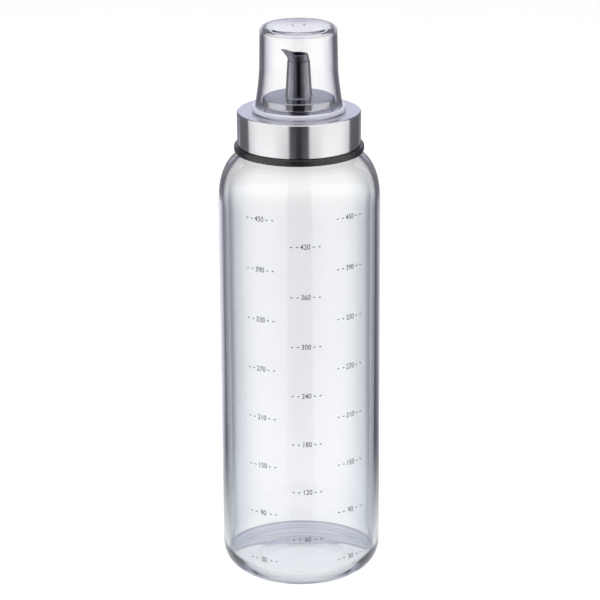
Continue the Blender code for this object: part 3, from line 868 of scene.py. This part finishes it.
def cap_radius(height):
    """Outer radius of the cap's wall, at a height above the top of its foot."""
    flare_left = max(0.0, 1.0 - height / CAP_FLARE_HEIGHT)
    return CAP_BASE_RADIUS - CAP_FLARE * (1.0 - flare_left**CAP_FLARE_CURVE) - CAP_DRAFT * height


clear_plastic, shader, tree = new_look("clear_plastic")
flow = grouped(tree, patches, Patches_per_metre=60.0, Detail=1.0, Low=0.0, High=0.02)
# Painted shade: the cap's colour darkens towards its edges, for the dark surroundings seen through its wall.
edges = tinted_edges(
    tree,
    [
        (0.00, (1.000, 1.000, 1.000)),
        (0.25, (0.980, 0.980, 0.990)),
        (0.45, (0.860, 0.860, 0.920)),
        (0.55, (0.790, 0.790, 0.860)),
        (0.62, (0.720, 0.720, 0.800)),
        (0.72, (0.420, 0.420, 0.480)),
        (0.85, (0.300, 0.300, 0.350)),
    ],
    Level_colour=(0.995, 0.995, 1.000, 1.0),
    Level_from=0.45,
    Clear_from_height=CAP_TOP - CAP_CORNER - CAP_INNER_CORNER,
    Clear_to_height=CAP_TOP - CAP_CORNER,
)
fill(
    shader,
    Base_Color=edges,
    Roughness=flow["Value"],
    IOR=1.49,
    Transmission_Weight=1.0,
    Normal=raised(tree, flow["Height"], 0.00001),
)
clear_to_lamps(tree, (0.960, 0.960, 0.975))

painted_bright_foot, shader, tree = new_look("painted_bright_foot")  # the foot, painted a matt lavender-white that stands in for the light that its clear plastic gathers
foot_mottle = grouped(tree, patches, Patches_per_metre=900.0, Detail=3.0, Low=0.16, High=0.28)
fill(
    shader,
    Base_Color=ramp(tree, [(0.3, (0.80, 0.80, 0.97)), (0.7, (0.90, 0.90, 1.00))], foot_mottle["Height"]),
    Roughness=foot_mottle["Value"],
    IOR=1.49,
    Transmission_Weight=0.35,
    Normal=raised(tree, foot_mottle["Height"], 0.00001),
)
clear_to_lamps(tree, (0.930, 0.930, 0.960))

foot_top = CAP_LEVEL + CAP_FOOT_HEIGHT
foot_radius = CAP_BASE_RADIUS + CAP_FOOT_OVERHANG
seat_top = CAP_LEVEL + CAP_SEAT_HEIGHT
outer_rise = CAP_TOP - CAP_CORNER - foot_top
inner_rise = CAP_CEILING - CAP_INNER_CORNER - foot_top
inner_corner = cap_radius(inner_rise) - CAP_WALL
seat_rise = seat_top - foot_top
rows = [i / CAP_WALL_ROWS for i in range(CAP_WALL_ROWS + 1)]
wall_outside = [outer_rise * row for row in reversed(rows)]
wall_inside = [seat_rise + (inner_rise - seat_rise) * row for row in rows]
dust_cap = turned(
    "clear_dust_cap",
    [
        (0.0, CAP_TOP - GATE_DEPTH),
        (GATE_RADIUS - MOULD_EDGE, CAP_TOP - GATE_DEPTH),
        (GATE_RADIUS, CAP_TOP - MOULD_EDGE),
        (GATE_RADIUS + MOULD_EDGE, CAP_TOP),
        *rounded(cap_radius(outer_rise), CAP_TOP, CAP_CORNER, 90, 0, CAP_CORNER_PIECES)[:-1],
        *[(cap_radius(rise), foot_top + rise) for rise in wall_outside],
        *rounded(foot_radius, foot_top, CAP_FOOT_ROUND, 90, 0, ROUND_PIECES),
        *rounded(foot_radius, CAP_LEVEL, CAP_FOOT_ROUND, 0, -90, ROUND_PIECES),
        (CAP_SEAT_RADIUS, CAP_LEVEL),
        (CAP_SEAT_RADIUS, seat_top),
        *[(cap_radius(rise) - CAP_WALL, foot_top + rise) for rise in wall_inside[:-1]],
        *rounded(inner_corner, CAP_CEILING, CAP_INNER_CORNER, 0, 90, CAP_INNER_CORNER_PIECES),
        (0.0, CAP_CEILING),
    ],
    LID_STEPS,
    closed=False,
)
dust_cap.data.materials.append(clear_plastic)
dust_cap.data.materials.append(painted_bright_foot)
# The foot takes the painted brightness.
for face in dust_cap.data.polygons:
    in_foot = face.center.z < foot_top + FOOT_BLEND
    face.material_index = int(in_foot and face.center.xy.length > CAP_BASE_RADIUS - CAP_WALL / 2)
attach(dust_cap, "cap")
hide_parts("dust_cap")

# The stage: a plain white floor that keeps the soft shadow, and dark and grey cards that only the shine of
# metal, glass and plastic picks up, as the cards beside a table where such things are pictured. Seen through
# glass, the floor shows a painted shade of the heel and painted bands of light.
FLOOR_HALF, FLOOR_LEVEL = 3.0, -0.0001
FLOOR_GLOW = 0.22  # seen, but never lighting the object
GLOW_THROUGH_GLASS = [  # painted light that glass shows on the floor: metres from the axis; glow there
    (0.12, 0.10),
    (0.25, 0.06),
    (0.50, 0.07),
    (0.56, 0.08),
    (0.66, 0.24),
    (0.74, 0.26),
    (0.84, 0.20),
]
BLUE_SHARE = 1.12  # of the blue in a grey card's light, beside its red and green
PAPER_INSIDE, PAPER_FULL = 0.035, 0.16  # from the axis, where the papers begin and where they show fully
PAPER_OUTSIDE, PAPER_LEVEL = 1.1, 0.0002  # half the side of their square
PAPERS = [  # degrees from the front, round by the right side; light of the paper there; how much it covers
    (0.0, 0.012, 1.0),
    (4.7, 0.012, 1.0),
    (6.2, 0.110, 1.0),
    (16.5, 0.110, 1.0),
    (19.5, 0.110, 0.26),
    (50.0, 0.110, 0.0),
    (84.0, 0.090, 0.0),
    (104.0, 0.120, 0.22),
    (107.0, 0.120, 1.0),
    (140.0, 0.085, 1.0),
    (149.0, 0.200, 1.0),
    (158.0, 0.480, 1.0),
    (166.0, 0.700, 1.0),
    (170.0, 0.800, 0.0),
    (190.0, 0.850, 0.0),
    (194.0, 0.850, 1.0),
    (206.0, 0.750, 1.0),
    (213.0, 0.480, 1.0),
    (221.0, 0.120, 1.0),
    (253.0, 0.120, 1.0),
    (256.0, 0.120, 0.22),
    (276.0, 0.090, 0.0),
    (310.0, 0.110, 0.0),
    (340.5, 0.110, 0.26),
    (343.5, 0.110, 1.0),
    (353.8, 0.110, 1.0),
    (355.3, 0.012, 1.0),
]
STANDING = {  # degrees from the front, round by the right side; light of the card
    "front_card": (-18.0, 18.0, 0.05),
    "right_card": (106.0, 170.0, 0.15),
    "left_card": (-170.0, -106.0, 0.15),
}
STANDING_HEIGHT = 1.2
FAR_PAPERS = {"right_paper": (146.0, 172.0), "left_paper": (-172.0, -146.0)}  # the lid's steel mirrors these
FAR_PAPER_REACH, FAR_PAPER_LEVEL = (0.66, 1.05), 0.0003
FAR_PAPER_LIGHT = (0.22, 0.22, 0.25)
BACK_CARD_HALF, BACK_CARD_BEHIND = 0.28, 0.80
BACK_CARD_LOW, BACK_CARD_HIGH = 0.24, 0.95
BACK_CARD_LIGHT = (0.64, 0.65, 0.80)
SHADE_REACH = 0.0385  # of the heel's painted shade on the floor, round the axis
SHADE_FRONT, SHADE_FRONT_REACH = -0.0368, 0.0505  # middle and radius of the circle that it keeps out of
SHADE_DEPTH = 0.012
HEEL_SHADE = [  # share of the way into the painted shade; the painted shade there, for the light that the thick heel leaves
    (0.00, (1.00, 1.00, 1.00)),
    (0.10, (0.30, 0.32, 0.38)),
    (0.24, (0.58, 0.60, 0.70)),
    (0.40, (0.66, 0.68, 0.78)),
    (0.50, (0.46, 0.49, 0.57)),
    (0.58, (0.66, 0.68, 0.78)),
    (0.74, (0.44, 0.47, 0.55)),
    (0.85, (0.64, 0.66, 0.76)),
]


def brightness(tree, seen, otherwise, through_glass):
    """One strength for what is seen or mirrored, one for what glass shows, and one for all other light."""
    path = add(tree, "LightPath").outputs
    plain = add(tree, "Math", path["Is Camera Ray"], path["Is Glossy Ray"], operation="MAXIMUM").outputs[0]
    shown = add(tree, "MapRange", Value=plain, To_Min=otherwise, To_Max=seen).outputs["Result"]
    chosen = add(tree, "Mix", data_type="FLOAT", Factor=path["Is Transmission Ray"], A=shown, B=through_glass)
    return chosen.outputs["Result"]


white_floor, shader, tree = new_look("white_floor")
paper = grouped(tree, patches, Patches_per_metre=14.0, Detail=2.0, Low=0.55, High=0.65)
whites = ramp(tree, [(0.3, (0.85, 0.85, 0.85)), (0.7, (0.86, 0.86, 0.86))], paper["Height"])
place = add(tree, "TexCoord").outputs["Object"]
away = add(tree, "VectorMath", place, operation="LENGTH").outputs["Value"]
# Painted light on the floor, seen only through glass, brighter in a band far behind the bottle.
glows = ramp(tree, [(far, (glow, glow, glow)) for far, glow in GLOW_THROUGH_GLASS], away)
# The heel's painted shadow, with darker painted rings, which only glass shows.
from_front = add(tree, "VectorMath", place, (0.0, SHADE_FRONT, 0.0), operation="DISTANCE").outputs["Value"]
edges = (away, SHADE_REACH, -SHADE_DEPTH), (from_front, SHADE_FRONT_REACH, SHADE_DEPTH)
depths = [
    add(tree, "MapRange", Value=reach, From_Min=edge, From_Max=edge + depth).outputs["Result"]
    for reach, edge, depth in edges
]
shade = ramp(tree, HEEL_SHADE, add(tree, "Math", *depths, operation="MINIMUM").outputs[0])
in_glass = add(tree, "LightPath").outputs["Is Transmission Ray"]
fill(
    shader,
    Base_Color=blended(tree, in_glass, whites, shade, "MULTIPLY"),
    Roughness=paper["Value"],
    Specular_IOR_Level=0.0,
    Emission_Color=(1.0, 1.0, 1.0, 1.0),
    Emission_Strength=brightness(tree, FLOOR_GLOW, 0.0, glows),
)


def sheet(name, corners, look):
    """A flat piece of the stage with these corners."""
    mesh = bpy.data.meshes.new(name)
    mesh.from_pydata(corners, [], [(0, 1, 2, 3)])
    mesh.materials.append(look)
    piece = bpy.data.objects.new(name, mesh)
    bpy.context.scene.collection.objects.link(piece)


def square(name, half, level, look):
    """A level square sheet round the axis."""
    sheet(name, [(half * x, half * y, level) for x, y in ((-1, -1), (1, -1), (1, 1), (-1, 1))], look)


def standing(name, left, right, low, high, look):
    """A card that stands upright between two places on the floor."""
    sheet(name, [(*left, low), (*right, low), (*right, high), (*left, high)], look)


def at(reach, degrees):
    """The place on the floor that far from the axis, and turned from the front, round by the right."""
    return reach * math.sin(math.radians(degrees)), -reach * math.cos(math.radians(degrees))


def new_card(name):
    """The look of a card without colour or shine, which shows only the light that it is given."""
    look, shader, tree = new_look(name)
    fill(shader, Base_Color=(0.0, 0.0, 0.0, 1.0), Specular_IOR_Level=0.0, Emission_Strength=1.0)
    return look, shader, tree


def only_in_shine(tree, cover=1.0):
    """Hides a card from all but the rays that have been reflected at least once."""
    depth = add(tree, "LightPath").outputs["Glossy Depth"]
    reflected = add(tree, "Math", depth, 1.0, operation="MINIMUM").outputs[0]
    shown = add(tree, "Math", reflected, cover, operation="MULTIPLY").outputs[0]
    clear = add(tree, "BsdfTransparent").outputs["BSDF"]
    card = tree.nodes["Principled BSDF"].outputs["BSDF"]
    fill(tree.nodes["Material Output"], Surface=add(tree, "MixShader", shown, clear, card).outputs["Shader"])


def plain_card(name, light):
    """The look of a card whose light is the same all over."""
    look, shader, tree = new_card(name)
    fill(shader, Emission_Color=(*light, 1.0))
    only_in_shine(tree)
    return look


square("floor", FLOOR_HALF, FLOOR_LEVEL, white_floor)
left, right = (-BACK_CARD_HALF, BACK_CARD_BEHIND), (BACK_CARD_HALF, BACK_CARD_BEHIND)
lavender = plain_card("lavender_card", BACK_CARD_LIGHT)
standing("back_card", left, right, BACK_CARD_LOW, BACK_CARD_HIGH, lavender)
for name, (start, end, light) in STANDING.items():
    grey = plain_card(name, (light, light, light * BLUE_SHARE))
    standing(name, at(PAPER_OUTSIDE, start), at(PAPER_OUTSIDE, end), 0.0, STANDING_HEIGHT, grey)
far_papers = plain_card("far_papers", FAR_PAPER_LIGHT)
for name, (start, end) in FAR_PAPERS.items():
    near, far = FAR_PAPER_REACH
    corners = [at(near, start), at(far, start), at(far, end), at(near, end)]
    sheet(name, [(*corner, FAR_PAPER_LEVEL) for corner in corners], far_papers)

dark_papers, shader, tree = new_card("dark_papers")
place = add(tree, "TexCoord").outputs["Object"]
turned_round = add(tree, "Mapping", Vector=place, Rotation=(0.0, 0.0, -math.pi / 2)).outputs["Vector"]
sweep = add(tree, "TexGradient", gradient_type="RADIAL", Vector=turned_round).outputs["Fac"]
stops = [(degrees / 360.0, (light, light, light * BLUE_SHARE, cover)) for degrees, light, cover in PAPERS]
light = ramp(tree, stops, sweep)
away = add(tree, "VectorMath", place, operation="LENGTH").outputs["Value"]
near = add(tree, "MapRange", Value=away, From_Min=PAPER_INSIDE, From_Max=PAPER_FULL).outputs["Result"]
fill(shader, Emission_Color=light)
only_in_shine(tree, add(tree, "Math", near, light.node.outputs["Alpha"], operation="MULTIPLY").outputs[0])
square("dark_papers", PAPER_OUTSIDE, PAPER_LEVEL, dark_papers)

# The light: a white room that is a little dimmer to the object than to the eye, two soft boxes in front and a
# larger one overhead. The boxes themselves don't show in metal or glass.
ROOM_LIGHT = 0.80  # that falls on the object; what is seen or mirrored has 1
CEILING = 0.80  # that glass shows of the room's upper part
CEILING_FROM, CEILING_FULL = 0.04, 0.20  # upward tilt where the ceiling begins, and where it is all there
LAMPS = {  # place, size, power in watts
    "left_box": ((-0.75, -0.55, 0.75), 0.6, 2.2),
    "right_box": ((0.75, -0.55, 0.75), 0.6, 2.2),
    "top_box": ((0.0, 0.15, 1.1), 0.8, 2.6),
}
AIM = (0.0, 0.0, 0.1)

room = bpy.data.worlds.new("white_room")
bpy.context.scene.world = room
room.use_nodes = True
tree = room.node_tree
tilt = add(tree, "SeparateXYZ", add(tree, "TexCoord").outputs["Generated"]).outputs["Z"]
above = {"From_Min": CEILING_FROM, "From_Max": CEILING_FULL, "To_Min": 1.0, "To_Max": CEILING}
ceiling = add(tree, "MapRange", Value=tilt, **above).outputs["Result"]
air = tree.nodes["Background"]
fill(air, Color=(1.0, 1.0, 1.0, 1.0), Strength=brightness(tree, 1.0, ROOM_LIGHT, ceiling))
for name, (location, size, power) in LAMPS.items():
    lamp = bpy.data.lights.new(name, "AREA")
    lamp.shape = "SQUARE"
    lamp.size = size
    lamp.energy = power
    box = bpy.data.objects.new(name, lamp)
    bpy.context.scene.collection.objects.link(box)
    box.location = location
    towards = Vector(AIM) - box.location
    box.rotation_euler = towards.to_track_quat("-Z", "Y").to_euler()
    box.visible_glossy = False
    box.visible_transmission = False
bpy.context.scene.view_settings.view_transform = "Standard"
bpy.context.scene.cycles.max_bounces = 32  # light turns back many times in the glass heel before it leaves
bpy.context.scene.cycles.transmission_bounces = 32
bpy.context.scene.cycles.glossy_bounces = 16

# The camera stands a metre off, looking down a little, with the slight tilt of the picture.
CAMERA_DISTANCE = 1.0
CAMERA_ELEVATION = math.radians(18.79)
CAMERA_ROLL = math.radians(-0.335)
AIM_HEIGHT = 0.1153
FOCAL_PIXELS, PICTURE_PIXELS, SENSOR = 2460.0, 600.0, 36.0

sight = bpy.data.cameras.new("camera")
sight.sensor_width = SENSOR
sight.lens = SENSOR * FOCAL_PIXELS / PICTURE_PIXELS
sight.clip_start, sight.clip_end = 0.05, 20.0
camera = bpy.data.objects.new("camera", sight)
bpy.context.scene.collection.objects.link(camera)
rise, run = math.sin(CAMERA_ELEVATION), math.cos(CAMERA_ELEVATION)
stand = Matrix.Translation((0.0, -run * CAMERA_DISTANCE, AIM_HEIGHT + rise * CAMERA_DISTANCE))
tilt = Matrix.Rotation(math.pi / 2 - CAMERA_ELEVATION, 4, "X")
camera.matrix_world = stand @ tilt @ Matrix.Rotation(CAMERA_ROLL, 4, "Z")
bpy.context.scene.camera = camera
